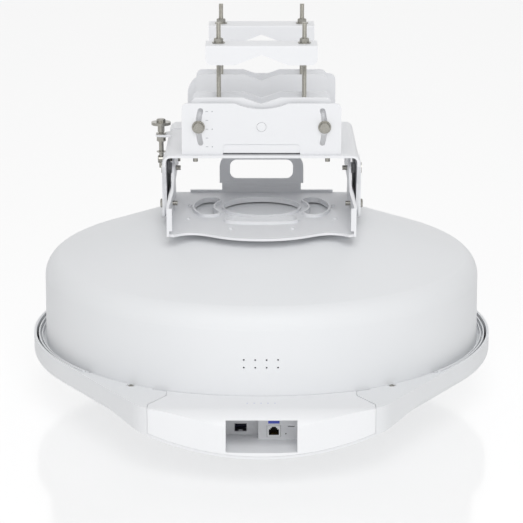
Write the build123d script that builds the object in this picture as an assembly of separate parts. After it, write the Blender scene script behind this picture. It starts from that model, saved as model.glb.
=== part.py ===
from build123d import *
from math import acos, atan2, cos, degrees, hypot, radians, sin, tan
import os

# Outdoor wireless bridge lying on its radome, with its pole bracket on top. Millimetres.
# +Z is the dish axis, towards the bracket. -Y is the end with the sockets.
# The origin is the middle of the radome's flat face, on the surface that the bridge lies on.

# ---- driving dimensions: dish and housing
DISH_RADIUS = 294.0
RIM_TOP = 95.0
SKIN = 3.0
SEAM = 0.25
REST_RADIUS = 110.0
SHOULDER_INSET = 10.0
SHOULDER_HEIGHT = 65.0
SKIRT_FOOT = 82.0
WING_FOOT = 66.0
WING_ROUND = 9.0
CHIN_HALF = 141.0
CHIN_SIDE_REACH = DISH_RADIUS + 34
CHIN_REACH = CHIN_SIDE_REACH + 28
CHIN_CORNER = 45.0
CHIN_ROUND = 26.0
CHIN_CREST = 0.6
CHIN_SEAM_HALF = 131.5
BAY_LID = 88.0
KEEL_RADIUS = 380.0
KEEL_FRONT = 39.0

DRUM_RADIUS = DISH_RADIUS - 15
DRUM_CREASE = 169.5
DRUM_DRAFT = 1.6
DRUM_TOP = 240.0
PAD_RADIUS = 104.0
PAD_TOP = DRUM_TOP + 5
FLANGE_TOP = 86.0
FLANGE_GAP = 2.2
DECK_START = 90.4
DECK_SLOPE = 0.056

# ---- driving dimensions: radio
REFLECTOR_RADIUS = DRUM_RADIUS - 29
REFLECTOR_RIM = 90.0
REFLECTOR_APEX = DRUM_TOP - 34
SHEET = 1.5
BAY_HALF = 41.0
BAY_FLOOR = 45.0
BAY_MOUTH = 48.5
BAY_CEILING = 85.5
JACK_PANEL = CHIN_REACH - 56
CAGE_PANEL = JACK_PANEL - 17
BAY_SPLIT = -3.8
JACK_X = 14.4
CAGE_X = -24.5
RESET_X = 28.4
RESET_Z = 51.8
RESET_TRAVEL = 0.6
BOARD = 1.6

# ---- driving dimensions: bracket
STEEL = 3.0
PLATE_TOP = PAD_TOP + 5
PLATE_HALF = 115.5
PLATE_NOSE = 158.0
PLATE_WAIST_X = 80.0
PLATE_WAIST = 128.0
PLATE_CORNER = 138.0
PLATE_BACK = 93.0
EAR_JOG = 4.5
EAR_LIP = 3.5
EAR_JOG_HEIGHT = PLATE_TOP + 47
YOKE_HALF = PLATE_HALF + 5.5
YOKE_FRONT = 90.0
YOKE_BACK = 126.0
YOKE_BEND = 9.0
LEG_FOOT = PLATE_TOP + 2
PIVOT_Y = -25.0
PIVOT_Z = PLATE_TOP + 59
EAR_TOP = PIVOT_Z + 19
YOKE_TOP = EAR_TOP + 10
LOCK_DROP = 46.0
LOCK_SWING = 14.0
TURN_HALF = 98.0
TURN_NEAR = -83.5
TURN_FAR = 136.0
TURN_Z = YOKE_TOP + 34.7
TURN_TOP = TURN_Z + 29.3
TURN_SWING = 15.0
TURN_BOLT_RADIUS = 77.5
SADDLE_HALF = 86.0
SADDLE_TOP = TURN_Z + 35.3
SADDLE_WEB = SADDLE_TOP - 44
CLAMP_DEPTH = 43.0
NEAR_Y = -54.5
FAR_Y = 109.0
ROD_X = 52.75
JAW_HALF = 68.5
JAW_FOOT = SADDLE_TOP + 40
JAW_TOP = JAW_FOOT + 24
ROD_TOP = JAW_TOP + 25.6
SADDLE_V_HALF = 23.7
SADDLE_V_DEPTH = 8.0
JAW_V_HALF = 32.6
JAW_V_DEPTH = 12.5
JAW_CORNER = 8.0
WASHER_RADIUS = 8.0
M6 = 3.0
M6_NUT = 5 * M6 / 3
M6_FLATS = 10 * M6 / 3
WASHER = 1.4
BOLT_SHOW = 6.0
PRESS_NUT = 5 * M6 / 3
THREAD_FIT = 0.05
HOLE_FIT = 0.35
SCREW_X = -YOKE_HALF - 8.5
SCREW_Y = 45.0
BARREL_Z = PIVOT_Z - 4
SCREW_HEAD_TOP = YOKE_TOP + 20
SCREW_FOOT = BARREL_Z - 11

parts = {}


# ---- shared shapes
def bend(start, end, turn):
    """Arc from start to end that turns by the given degrees, to the left when positive."""
    (x0, y0), (x1, y1) = start, end
    rise = tan(radians(turn) / 4) / 2
    middle = ((x0 + x1) / 2 + rise * (y1 - y0), (y0 + y1) / 2 - rise * (x1 - x0))
    return ThreePointArc(start, middle, end)


def upright(sketch, y0, y1):
    """Extrude an X-Z sketch from y0 to y1."""
    return extrude(Plane.XZ.offset(-y0) * sketch, -(y1 - y0))


def sideways(sketch, x0, x1):
    """Extrude a Y-Z sketch from x0 to x1."""
    return extrude(Plane.YZ.offset(x0) * sketch, x1 - x0)


def block(x0, x1, y0, y1, z0, z1):
    """Box between two corners."""
    middle = Pos((x0 + x1) / 2, (y0 + y1) / 2, (z0 + z1) / 2)
    return middle * Box(x1 - x0, y1 - y0, z1 - z0)


def rod(x, y, z0, z1, radius):
    """Round bar along Z."""
    return Pos(x, y, (z0 + z1) / 2) * Cylinder(radius, z1 - z0)


def rod_x(x0, x1, y, z, radius):
    """Round bar along X."""
    return Pos((x0 + x1) / 2, y, z) * Rot(0, 90, 0) * Cylinder(radius, abs(x1 - x0))


def rod_y(x, y0, y1, z, radius):
    """Round bar along Y."""
    return Pos(x, (y0 + y1) / 2, z) * Rot(90, 0, 0) * Cylinder(radius, abs(y1 - y0))


def hexagon(flats, height):
    """Hexagonal prism standing on its origin, with its top corners chamfered."""
    prism = extrude(RegularPolygon(flats / 2, 6, major_radius=False), height)
    crown = Pos(0, 0, height / 2) * Cylinder(flats / 2 / cos(radians(30)), height)
    crown = chamfer(crown.edges().group_by(Axis.Z)[-1], min(0.1 * flats, 0.3 * height))
    return prism & crown


def nut(flats, height, bore):
    """Hexagon nut standing on its origin."""
    return hexagon(flats, height) - Pos(0, 0, height / 2) * Cylinder(bore, 2 * height)


def ring(outer, inner, height):
    """Washer standing on its origin."""
    return Pos(0, 0, height / 2) * (Cylinder(outer, height) - Cylinder(inner, 2 * height))


def rounded(width, height, radius, x=0.0, y=0.0):
    """Rectangle with round corners about a middle."""
    return Pos(x, y) * RectangleRounded(width, height, radius)


def both(shape):
    """A solid and its mirror image across the Y-Z plane, as separate solids."""
    return [shape, mirror(shape, about=Plane.YZ)]


def group(solids):
    """Separate solids kept as one node."""
    found = []
    for item in solids:
        found.extend(item.solids())
    return Compound(children=found)


# ---- plan of the radome: a circle, two tangent sides and a bowed chin
CHIN_ANGLE = degrees(atan2(CHIN_SIDE_REACH, CHIN_HALF))
TANGENT_ANGLE = CHIN_ANGLE - degrees(acos(DISH_RADIUS / hypot(CHIN_HALF, CHIN_SIDE_REACH)))


def plan(inset=0.0):
    """Face of the whole plan, drawn in by an inset."""
    tangent_x = DISH_RADIUS * cos(radians(TANGENT_ANGLE))
    tangent_y = -DISH_RADIUS * sin(radians(TANGENT_ANGLE))
    left = (-CHIN_HALF, -CHIN_SIDE_REACH)
    right = (CHIN_HALF, -CHIN_SIDE_REACH)
    outline = make_face([
        ThreePointArc((tangent_x, tangent_y), (0, DISH_RADIUS), (-tangent_x, tangent_y)),
        Line((-tangent_x, tangent_y), left),
        ThreePointArc(left, (0, -CHIN_REACH), right),
        Line(right, (tangent_x, tangent_y)),
    ])
    corners = outline.vertices().filter_by(lambda v: abs(v.Y + CHIN_SIDE_REACH) < 1)
    outline = fillet(corners, CHIN_CORNER)
    if inset:
        outline = offset(outline, amount=-inset)
    return outline


def prism(inset, z0, z1):
    """Plan extruded between two heights."""
    return extrude(Pos(0, 0, z0) * plan(inset), z1 - z0)


KEEL_TILT = degrees(atan2(KEEL_FRONT, CHIN_REACH - 11 - REST_RADIUS))


def keel(inset):
    """Space above the chin's rounded underside, raised by an inset."""
    reach = 2 * CHIN_REACH
    axle = Rot(90 - KEEL_TILT, 0, 0) * Cylinder(KEEL_RADIUS - inset, 2 * reach)
    lift = KEEL_RADIUS / cos(radians(KEEL_TILT)) - REST_RADIUS * tan(radians(KEEL_TILT))
    trough = Pos(0, 0, lift) * axle
    return trough & block(-reach, reach, -reach, -REST_RADIUS, -1, RIM_TOP + 1)


def chin_zone(grow, z0, z1):
    """Prism of the part of the plan that the chin housing covers."""
    half = CHIN_SEAM_HALF + grow
    waist = half - 19.5
    knee = -CHIN_REACH + 78
    points = [(-waist, knee + 78), (-waist, knee), (-half, knee - 38), (-half, -2 * CHIN_REACH),
              (half, -2 * CHIN_REACH), (half, knee - 38), (waist, knee), (waist, knee + 78)]
    return extrude(Pos(0, 0, z0) * make_face(Polyline(points, close=True)), z1 - z0)


# ---- radome: the bowl that the dish looks through
def bowl(inset):
    """Solid of revolution under the rim, drawn in by an inset."""
    lean = radians(27)
    foot = (REST_RADIUS, inset)
    shoulder = (DISH_RADIUS - SHOULDER_INSET - inset * sin(lean), SHOULDER_HEIGHT + inset * cos(lean))
    wall = (DISH_RADIUS - inset, SKIRT_FOOT)
    brim = (DISH_RADIUS - inset, RIM_TOP)
    face = make_face([
        Line((0, inset), foot),
        bend(foot, shoulder, 13),
        bend(shoulder, wall, 63),
        Line(wall, brim),
        Line(brim, (0, RIM_TOP)),
        Line((0, RIM_TOP), (0, inset)),
    ])
    return revolve(Plane.XZ * face, Axis.Z)


RIM_SCREW_RADIUS = DISH_RADIUS - 11.1
RIM_SCREW_ANGLES = [25, 50, 75, 105, 130, 155]
DECK_SCREW_ANGLE = 56.8
BOSS_RADIUS = 5.0
RIM_SCREW_BORE = 1.7


def rim_screw_places():
    """Places of the screws that hold the two shells together."""
    places = []
    for angle in RIM_SCREW_ANGLES:
        places.append((RIM_SCREW_RADIUS * cos(radians(angle)), RIM_SCREW_RADIUS * sin(radians(angle))))
    return places


def deck_screw_places():
    """Places of the two screws that show beside the drum."""
    reach = RIM_SCREW_RADIUS + 1.0
    x = reach * cos(radians(DECK_SCREW_ANGLE))
    y = -reach * sin(radians(DECK_SCREW_ANGLE))
    return [(-x, y), (x, y)]


def deck_top(radius):
    """Height of the deck's top at a distance from the dish axis."""
    return DECK_START + DECK_SLOPE * (radius - DRUM_RADIUS)


def wing(inset):
    """Slab that carries the skirt out to the plan's tangent sides, with a rounded lower edge."""
    slab = prism(inset, WING_FOOT + inset, RIM_TOP)
    return fillet(slab.edges().group_by(Axis.Z)[0], WING_ROUND - inset)


def hollow(inset):
    """Everything inside the radome's surface, drawn in by an inset."""
    return bowl(inset) + wing(inset) + (prism(inset, 0, RIM_TOP) & keel(inset))


def build_radome():
    shell = hollow(0) - hollow(SKIN)
    core = hollow(SKIN / 2)
    shell -= chin_zone(0, 0, RIM_TOP + 2) & keel(SKIN)
    posts = []
    for x, y in rim_screw_places():
        posts.append(rod(x, y, SHOULDER_HEIGHT - 5, FLANGE_TOP - SKIN - 0.1, BOSS_RADIUS))
    for x, y in deck_screw_places():
        posts.append(rod(x, y, SHOULDER_HEIGHT - 20, FLANGE_TOP - SKIN - 0.1, BOSS_RADIUS))
    for post in posts:
        shell += post & core
    for x, y in rim_screw_places() + deck_screw_places():
        shell -= rod(x, y, SHOULDER_HEIGHT + 5, RIM_TOP, RIM_SCREW_BORE)
    return shell


# ---- rear housing: the drum, its flange and the two decks beside the chin
def drum(inset):
    """Solid under the drum's outer surface, drawn in by an inset."""
    foot = FLANGE_TOP - SKIN - 30
    crease = (DRUM_RADIUS - DRUM_DRAFT - inset, DRUM_CREASE)
    cone = (DRUM_RADIUS - DRUM_DRAFT - 17.1 - 0.6 * inset, DRUM_CREASE + 26 - 0.8 * inset)
    brow = (147, DRUM_TOP - 4 - 0.97 * inset)
    crown = (124, DRUM_TOP - inset)
    face = make_face([
        Line((0, foot), (DRUM_RADIUS - inset, foot)),
        Line((DRUM_RADIUS - inset, foot), crease),
        bend(crease, cone, 66),
        Line(cone, brow),
        bend(brow, crown, 20),
        Line(crown, (PAD_RADIUS + 6, DRUM_TOP - inset)),
        Line((PAD_RADIUS + 6, DRUM_TOP - inset), (PAD_RADIUS, PAD_TOP - inset)),
        Line((PAD_RADIUS, PAD_TOP - inset), (0, PAD_TOP - inset)),
        Line((0, PAD_TOP - inset), (0, foot)),
    ])
    return revolve(Plane.XZ * face, Axis.Z)


def cone_band(low, high):
    """Space between two copies of the deck's sloping top."""
    near = DRUM_RADIUS - 8
    far = 2 * CHIN_REACH
    points = [(near, deck_top(near) + low), (far, deck_top(far) + low),
              (far, deck_top(far) + high), (near, deck_top(near) + high)]
    return revolve(Plane.XZ * make_face(Polyline(points, close=True)), Axis.Z)


VENT_X = (-20.7, -7.3, 6.0, 19.4)
VENT_Z = (125.4, 134.7)
VENT_RADIUS = 1.15
FOOT_X = PLATE_HALF - 23.5
PLATE_FEET = [(-FOOT_X, 13), (FOOT_X, 13), (-FOOT_X, -59), (FOOT_X, -59), (-38, -110), (38, -110)]
FOOT_RADIUS = 6.0
PLATE_SCREW_BORE = 1.6
DECK_ANGLES = (42.4, 62.7)
LIP_RADIUS = DISH_RADIUS - 6
DECK_SINK = 2.0
DECK_SINK_RADIUS = 5.4
DECK_SEAM = 0.6
GROOVE_DEPTH = 2.2
GROOVE_WIDTH = 1.1
INNER_LIP = DISH_RADIUS - 11.4


def deck_sector(grow):
    """Wedge in plan where the deck reaches in to the drum wall."""
    first = radians(DECK_ANGLES[0])
    last = radians(DECK_ANGLES[1])
    reach = 2 * CHIN_REACH
    points = [(0, 0), (reach * cos(first), -reach * sin(first)), (reach * cos(last), -reach * sin(last))]
    wedge = make_face(Polyline(points, close=True))
    return extrude(wedge, RIM_TOP + grow)


def build_rear_housing():
    base = FLANGE_TOP - SKIN
    keep = rod(0, 0, base, PAD_TOP + 1, DRUM_RADIUS + 1)
    shell = (drum(0) - drum(SKIN)) & keep
    flange = rod(0, 0, base, FLANGE_TOP, LIP_RADIUS) - rod(0, 0, 0, RIM_TOP, DRUM_RADIUS - SKIN)
    lip = rod(0, 0, base, RIM_TOP - 1.5, LIP_RADIUS) - rod(0, 0, 0, RIM_TOP, LIP_RADIUS - 1.6)
    lip &= block(-400, 400, -190, 400, 0, RIM_TOP)
    inner = rod(0, 0, base, RIM_TOP - 3, INNER_LIP + 1.2) - rod(0, 0, 0, RIM_TOP, INNER_LIP)
    inner &= block(-400, 400, -190, 80, 0, RIM_TOP)
    shell += flange + lip + inner
    deck = prism(SKIN + DECK_SEAM, 70, RIM_TOP + 20) & cone_band(-SKIN, 0)
    deck &= block(-400, 400, -400, -160, 0, 2 * RIM_TOP)
    moat = rod(0, 0, 0, 2 * RIM_TOP, DRUM_RADIUS + 5)
    wedges = deck_sector(20) + mirror(deck_sector(20), about=Plane.YZ)
    deck -= moat - wedges
    deck -= rod(0, 0, 0, 2 * RIM_TOP, DRUM_RADIUS - 0.5 * SKIN)
    riser = prism(SKIN + SEAM, base, FLANGE_TOP + 4) & block(-400, 400, -400, -160, 0, RIM_TOP)
    riser &= rod(0, 0, 0, RIM_TOP, LIP_RADIUS) - rod(0, 0, 0, RIM_TOP, DRUM_RADIUS + 5 - 0.01)
    shell += deck + riser
    groove = rod(0, 0, DECK_START - GROOVE_DEPTH, 2 * RIM_TOP, DRUM_RADIUS + GROOVE_WIDTH)
    groove -= rod(0, 0, 0, 3 * RIM_TOP, DRUM_RADIUS)
    shell -= groove & block(-400, 400, -400, -160, 0, 3 * RIM_TOP)
    front = chin_zone(SEAM, 0, 2 * RIM_TOP) - rod(0, 0, 0, 2 * RIM_TOP, DRUM_RADIUS - 0.5)
    shell -= front
    for x, y in PLATE_FEET:
        foot = rod(x, y, DRUM_TOP - SKIN - 6, PLATE_TOP - STEEL, FOOT_RADIUS)
        shell += foot
        shell -= rod(x, y, DRUM_TOP - SKIN - 7, PLATE_TOP, PLATE_SCREW_BORE)
    for x, y in rim_screw_places() + deck_screw_places():
        shell -= rod(x, y, 0, RIM_TOP + 5, 2.15)
    for x, y in deck_screw_places():
        shell -= rod(x, y, deck_top(hypot(x, y)) - DECK_SINK, RIM_TOP + 5, DECK_SINK_RADIUS)
    for x in VENT_X:
        for z in VENT_Z:
            shell -= rod_y(x, -DRUM_RADIUS - 5, -DRUM_RADIUS + 10, z, VENT_RADIUS)
    return shell


# ---- chin housing: the cover over the sockets
LED_X = (-16.4, -8.4, -0.4, 7.5, 15.5)
LED_Y = 47 - CHIN_REACH
LED_RADIUS = 1.0
LED_BAR = 2.5


def chin_brow(inset):
    """Space under the chin's sloping top and its rounded brow, which fades out at the seams."""
    radius = CHIN_ROUND - inset
    slope = atan2(DECK_SLOPE, 1)
    brow = CHIN_REACH - inset - radius * (1 + sin(slope))
    high = deck_top(brow) + CHIN_CREST - inset
    low = high - radius * cos(slope)
    profile = make_face([
        Line((0, -10), (0, deck_top(0) + CHIN_CREST - inset)),
        Line((0, deck_top(0) + CHIN_CREST - inset), (-brow, high)),
        bend((-brow, high), (inset - CHIN_REACH, low), 90 + degrees(slope)),
        Line((inset - CHIN_REACH, low), (inset - CHIN_REACH, -10)),
        Line((inset - CHIN_REACH, -10), (0, -10)),
    ])
    return sideways(profile, -2 * CHIN_HALF, 2 * CHIN_HALF)


def chin_block(inset):
    """Solid of the chin's outer shape, drawn in by an inset."""
    return prism(inset, 10, RIM_TOP + 5) & chin_brow(inset)


def build_chin_housing():
    shell = chin_block(0) - chin_block(SKIN)
    shell &= chin_zone(-SEAM, 0, 200)
    shell &= block(-CHIN_HALF, CHIN_HALF, -2 * CHIN_REACH, -220, 0, 200)
    shell -= rod(0, 0, 0, 200, DRUM_RADIUS + SEAM)
    shell &= keel(SKIN + SEAM)
    shell -= block(-BAY_HALF, BAY_HALF, -400, -CHIN_REACH + 40, BAY_MOUTH, BAY_CEILING)
    for x in LED_X:
        shell -= rod(x, LED_Y, 60, 100, LED_RADIUS + 0.05)
    return shell


# ---- port bay: the recess with its two panels
BAY_WALL = 2.0
JACK_WIDTH = 15.6
JACK_HEIGHT = 13.4
JACK_Z = 55.0
JACK_GAP = 0.35
JACK_LINER = 0.7
CAGE_WIDTH = 14.6
CAGE_HEIGHT = 10.0
CAGE_Z = 53.9


def build_port_bay():
    back = -CAGE_PANEL + BAY_WALL
    hull = block(-BAY_HALF - BAY_WALL, BAY_HALF + BAY_WALL, -CHIN_REACH, back,
                 BAY_FLOOR - BAY_WALL, BAY_LID)
    hull -= block(-BAY_HALF, BAY_SPLIT, -400, -CAGE_PANEL, BAY_FLOOR, BAY_CEILING)
    hull -= block(BAY_SPLIT - 0.01, BAY_HALF, -400, -JACK_PANEL, BAY_FLOOR, BAY_CEILING)
    hull -= block(BAY_SPLIT + BAY_WALL, BAY_HALF + BAY_WALL + 1, -JACK_PANEL + BAY_WALL, 0, 0, 200)
    hull &= chin_block(SKIN + SEAM)
    hull &= keel(SKIN + SEAM + 1)
    half = JACK_WIDTH / 2 + JACK_GAP
    hull -= block(JACK_X - half, JACK_X + half, -JACK_PANEL - 20, -JACK_PANEL + 30,
                  JACK_Z - JACK_HEIGHT / 2 - JACK_GAP, JACK_Z + JACK_HEIGHT / 2 + JACK_GAP)
    hull -= block(CAGE_X - CAGE_WIDTH / 2 - 0.1, CAGE_X + CAGE_WIDTH / 2 + 0.1, -JACK_PANEL, -CAGE_PANEL + 23,
                  CAGE_Z - CAGE_HEIGHT / 2 - 0.1, CAGE_Z + CAGE_HEIGHT / 2 + 0.1)
    hull -= rod_y(RESET_X, -JACK_PANEL - 10, -JACK_PANEL + 10, RESET_Z, 0.9)
    hull -= block(RESET_X + 2.2, RESET_X + 10.2, -JACK_PANEL - 10, -JACK_PANEL + 10, RESET_Z + 8.6, RESET_Z + 9.6)
    return hull


def jack_mouth(grow):
    """X-Z outline of the modular plug's well, with its latch steps upwards."""
    low = JACK_Z - 4.6
    half = [(5.85, low), (5.85, low + 7.0), (4.0, low + 7.0), (4.0, low + 8.7), (2.5, low + 8.7),
            (2.5, low + 10.2)]
    points = half + [(-x, z) for x, z in reversed(half)]
    mouth = make_face(Polyline([(JACK_X + x, z) for x, z in points], close=True))
    if grow:
        mouth = offset(mouth, amount=grow, kind=Kind.INTERSECTION)
    return mouth


def build_rj45_jack():
    face = -JACK_PANEL - 0.3
    shell = block(JACK_X - JACK_WIDTH / 2, JACK_X + JACK_WIDTH / 2, face, face + 21,
                  JACK_Z - JACK_HEIGHT / 2, JACK_Z + JACK_HEIGHT / 2)
    shell = fillet(shell.edges().filter_by(Axis.Y), 1.2)
    shell -= upright(jack_mouth(0), face - 1, face + JACK_LINER)
    return shell - upright(jack_mouth(JACK_LINER), face + JACK_LINER - 0.01, face + 15)


def build_jack_insert():
    """Dark lining of the modular jack's well, behind its white front."""
    near = -JACK_PANEL - 0.3 + JACK_LINER + 0.05
    lump = upright(jack_mouth(JACK_LINER - 0.05), near, near + 14)
    return lump - upright(jack_mouth(0.02), near - 1, near + 13.3)


def build_rj45_contacts():
    wires = []
    for index in range(8):
        x = JACK_X - 3.57 + 1.02 * index
        wires.append(block(x - 0.2, x + 0.2, -JACK_PANEL + 5, -JACK_PANEL + 13.2,
                           JACK_Z - 4.4, JACK_Z - 4.0))
    return group(wires)


def build_sfp_cage():
    face = -CAGE_PANEL - 0.3
    wall = 0.5
    shell = block(CAGE_X - CAGE_WIDTH / 2, CAGE_X + CAGE_WIDTH / 2, face, face + 44,
                  CAGE_Z - CAGE_HEIGHT / 2, CAGE_Z + CAGE_HEIGHT / 2)
    shell -= block(CAGE_X - CAGE_WIDTH / 2 + wall, CAGE_X + CAGE_WIDTH / 2 - wall, face - 1,
                   face + 44 - wall, CAGE_Z - CAGE_HEIGHT / 2 + wall, CAGE_Z + CAGE_HEIGHT / 2 - wall)
    return shell


def build_sfp_connector():
    face = -CAGE_PANEL + 12
    body = block(CAGE_X - 6.6, CAGE_X + 6.6, face, face + 30, CAGE_Z - 4.3, CAGE_Z + 4.3)
    return body - block(CAGE_X - 4.6, CAGE_X + 4.6, face - 1, face + 8, CAGE_Z - 1.2, CAGE_Z + 1.2)


def build_cage_latch():
    """Sprung tongue in the middle of the cage's floor."""
    floor = CAGE_Z - CAGE_HEIGHT / 2 + 0.5
    return block(CAGE_X - 2.2, CAGE_X + 2.2, -CAGE_PANEL + 0.3, -CAGE_PANEL + 9, floor, floor + 1.6)


def build_port_label():
    return block(JACK_X - 6.6, JACK_X + 6.6, -JACK_PANEL - 0.25, -JACK_PANEL,
                 JACK_Z + JACK_HEIGHT / 2 + 2.9, JACK_Z + JACK_HEIGHT / 2 + 6.2)


RESET_RADIUS = 1.6
SWITCH_FACE = -JACK_PANEL + BAY_WALL + 0.4
PORT_BOARD_TOP = JACK_Z - JACK_HEIGHT / 2


def build_reset_button():
    stem = rod_y(RESET_X, SWITCH_FACE, SWITCH_FACE + 4, RESET_Z, RESET_RADIUS)
    return stem


def build_reset_switch():
    near = SWITCH_FACE + 4 + RESET_TRAVEL + 0.2
    body = block(RESET_X - 3, RESET_X + 3, SWITCH_FACE + 1.2, near + 4, PORT_BOARD_TOP, RESET_Z + 3)
    return body - rod_y(RESET_X, SWITCH_FACE, near, RESET_Z, RESET_RADIUS + 0.08)


def build_port_board():
    board = block(-62, 62, -JACK_PANEL + BAY_WALL + 1, -DRUM_RADIUS + 58,
                  PORT_BOARD_TOP - BOARD, PORT_BOARD_TOP)
    board -= block(-BAY_HALF - 3, BAY_SPLIT + 3, -400, -CAGE_PANEL + BAY_WALL + 1, 0, 100)
    return board


def build_led_light_pipes():
    skin_top = deck_top(-LED_Y - LED_BAR) + CHIN_CREST
    under = skin_top - SKIN - 0.1
    joined = block(LED_X[0] - 3, LED_X[-1] + 3, LED_Y - LED_BAR, LED_Y + LED_BAR, under - 0.5, under)
    for x in LED_X:
        joined += rod(x, LED_Y, under, skin_top - 0.1, LED_RADIUS)
    return joined


# ---- dish inside the drum
def paraboloid(gap):
    """Section edge of the reflector at a gap behind its face."""
    points = []
    for step in range(9):
        radius = REFLECTOR_RADIUS * step / 8
        drop = (REFLECTOR_APEX - REFLECTOR_RIM) * (radius / REFLECTOR_RADIUS) ** 2
        points.append((radius, REFLECTOR_APEX - drop + gap))
    return Spline(points)


FEED_RADIUS = 17.0


def build_reflector():
    rim_low = (REFLECTOR_RADIUS, REFLECTOR_RIM)
    rim_high = (REFLECTOR_RADIUS, REFLECTOR_RIM + SHEET)
    face = make_face([
        paraboloid(0),
        Line(rim_low, rim_high),
        paraboloid(SHEET),
        Line((0, REFLECTOR_APEX), (0, REFLECTOR_APEX + SHEET)),
    ])
    dish = revolve(Plane.XZ * face, Axis.Z)
    brim = Pos(0, 0, REFLECTOR_RIM) * ring(DRUM_RADIUS - SKIN - 1, REFLECTOR_RADIUS - 0.01, SHEET)
    dish += brim
    return dish - rod(0, 0, 0, 300, FEED_RADIUS + 0.3)


def build_reflector_clips():
    """Six clips between the dish brim and the drum wall."""
    clips = []
    for index in range(6):
        angle = 30 + 60 * index
        clip = block(DRUM_RADIUS - SKIN - 10, DRUM_RADIUS - SKIN - 1.2, -7, 7,
                     REFLECTOR_RIM + SHEET + 0.05, REFLECTOR_RIM + SHEET + 9)
        clips.append(Rot(0, 0, angle) * clip)
    return group(clips)


FEED_TOP = REFLECTOR_APEX + 16
FEED_MOUTH = 128.0
SUB_Z = 104.0
SUB_RADIUS = 42.0


def build_feed_waveguide():
    tube = rod(0, 0, FEED_MOUTH, FEED_TOP, 9) - rod(0, 0, 0, 300, 6.5)
    collar = rod(0, 0, REFLECTOR_APEX - 12, FEED_TOP, FEED_RADIUS) - rod(0, 0, 0, 300, 6.5)
    return tube + collar


def build_feed_lens():
    """Dielectric cone that carries the small reflector in front of the feed."""
    face = make_face([
        Line((0, SUB_Z), (SUB_RADIUS - 4, SUB_Z)),
        bend((SUB_RADIUS - 4, SUB_Z), (9, FEED_MOUTH - 0.1), -16),
        Line((9, FEED_MOUTH - 0.1), (0, FEED_MOUTH - 0.1)),
        Line((0, FEED_MOUTH - 0.1), (0, SUB_Z)),
    ])
    return revolve(Plane.XZ * face, Axis.Z)


def build_subreflector():
    return rod(0, 0, SUB_Z - 3.1, SUB_Z - 0.1, SUB_RADIUS)


def build_radio_board():
    board = rod(0, 0, FEED_TOP + 0.1, FEED_TOP + 0.1 + BOARD, 88)
    for x, y in PLATE_FEET:
        board -= rod(x, y, 0, 300, FOOT_RADIUS + 1)
    return board


def build_heat_spreader():
    low = FEED_TOP + 0.2 + BOARD
    plate = block(-60, 60, -50, 50, low, low + 4)
    for index in range(9):
        x = -56 + 14 * index
        plate += block(x - 1.2, x + 1.2, -48, 48, low + 3.9, PAD_TOP - SKIN - 0.6)
    return plate


def build_vent_membrane():
    patch = upright(rounded(52, 22, 4, 0, (VENT_Z[0] + VENT_Z[1]) / 2), -DRUM_RADIUS, -DRUM_RADIUS + 20)
    skin = drum(SKIN + 0.1) - drum(SKIN + 0.6)
    return patch & skin


def build_rim_gasket():
    """Soft cord between the drum's flange and the radome's ledge posts."""
    cord = ring(LIP_RADIUS + 1.5, LIP_RADIUS + 0.2, 2.6)
    cord = Pos(0, 0, FLANGE_TOP - SKIN) * cord
    return cord & block(-400, 400, -150, 400, 0, RIM_TOP)


# ---- screws
def pan_screw(length, shank, head):
    """Pan-head screw whose head's underside is at its origin, pointing down."""
    cap = Pos(0, 0, 1.1) * Cylinder(head, 2.2)
    cap = fillet(cap.edges().group_by(Axis.Z)[-1], 0.9)
    cap -= Pos(0, 0, 1.9) * Cylinder(0.45 * head, 1.4)
    return cap + Pos(0, 0, -length / 2) * Cylinder(shank, length)


def build_housing_screws():
    screws = []
    for x, y in rim_screw_places():
        screws.append(Pos(x, y, FLANGE_TOP) * pan_screw(12, RIM_SCREW_BORE - 0.02, 3.4))
    for x, y in deck_screw_places():
        seat = deck_top(hypot(x, y)) - DECK_SINK
        screws.append(Pos(x, y, seat) * pan_screw(14, RIM_SCREW_BORE - 0.02, 3.2))
    return group(screws)


def build_plate_screws():
    screws = []
    for x, y in PLATE_FEET:
        screws.append(Pos(x, y, PLATE_TOP) * pan_screw(9, PLATE_SCREW_BORE - 0.02, 2.5))
    return group(screws)


# ---- tilt plate: pressed steel, with two ears and the carry handle
HANDLE_HALF = 55.2
HANDLE_NECK = 52.0
HANDLE_STEP = PLATE_TOP + 13
HANDLE_TOP = PLATE_TOP + 54
GRIP_HALF = 41.5
GRIP_LOW = PLATE_TOP + 19
GRIP_HIGH = PLATE_TOP + 44.5
MIDDLE_RADIUS = PLATE_HALF - 67
KIDNEY_OUT = PLATE_HALF - 29.5
KIDNEY_IN = KIDNEY_OUT - 24
KIDNEY_SWING = 27.0
ARCH_CENTRE = 60.0
ARCH_OUT = 143.0
ARCH_IN = 122.0
ARCH_SWING = 15.0
LIP_WIDTH = 2.4
LIP_HEIGHT = 3.6
BACK_LIP_HALF = 94.0
BACK_LIP_HEIGHT = 3.5


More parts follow.
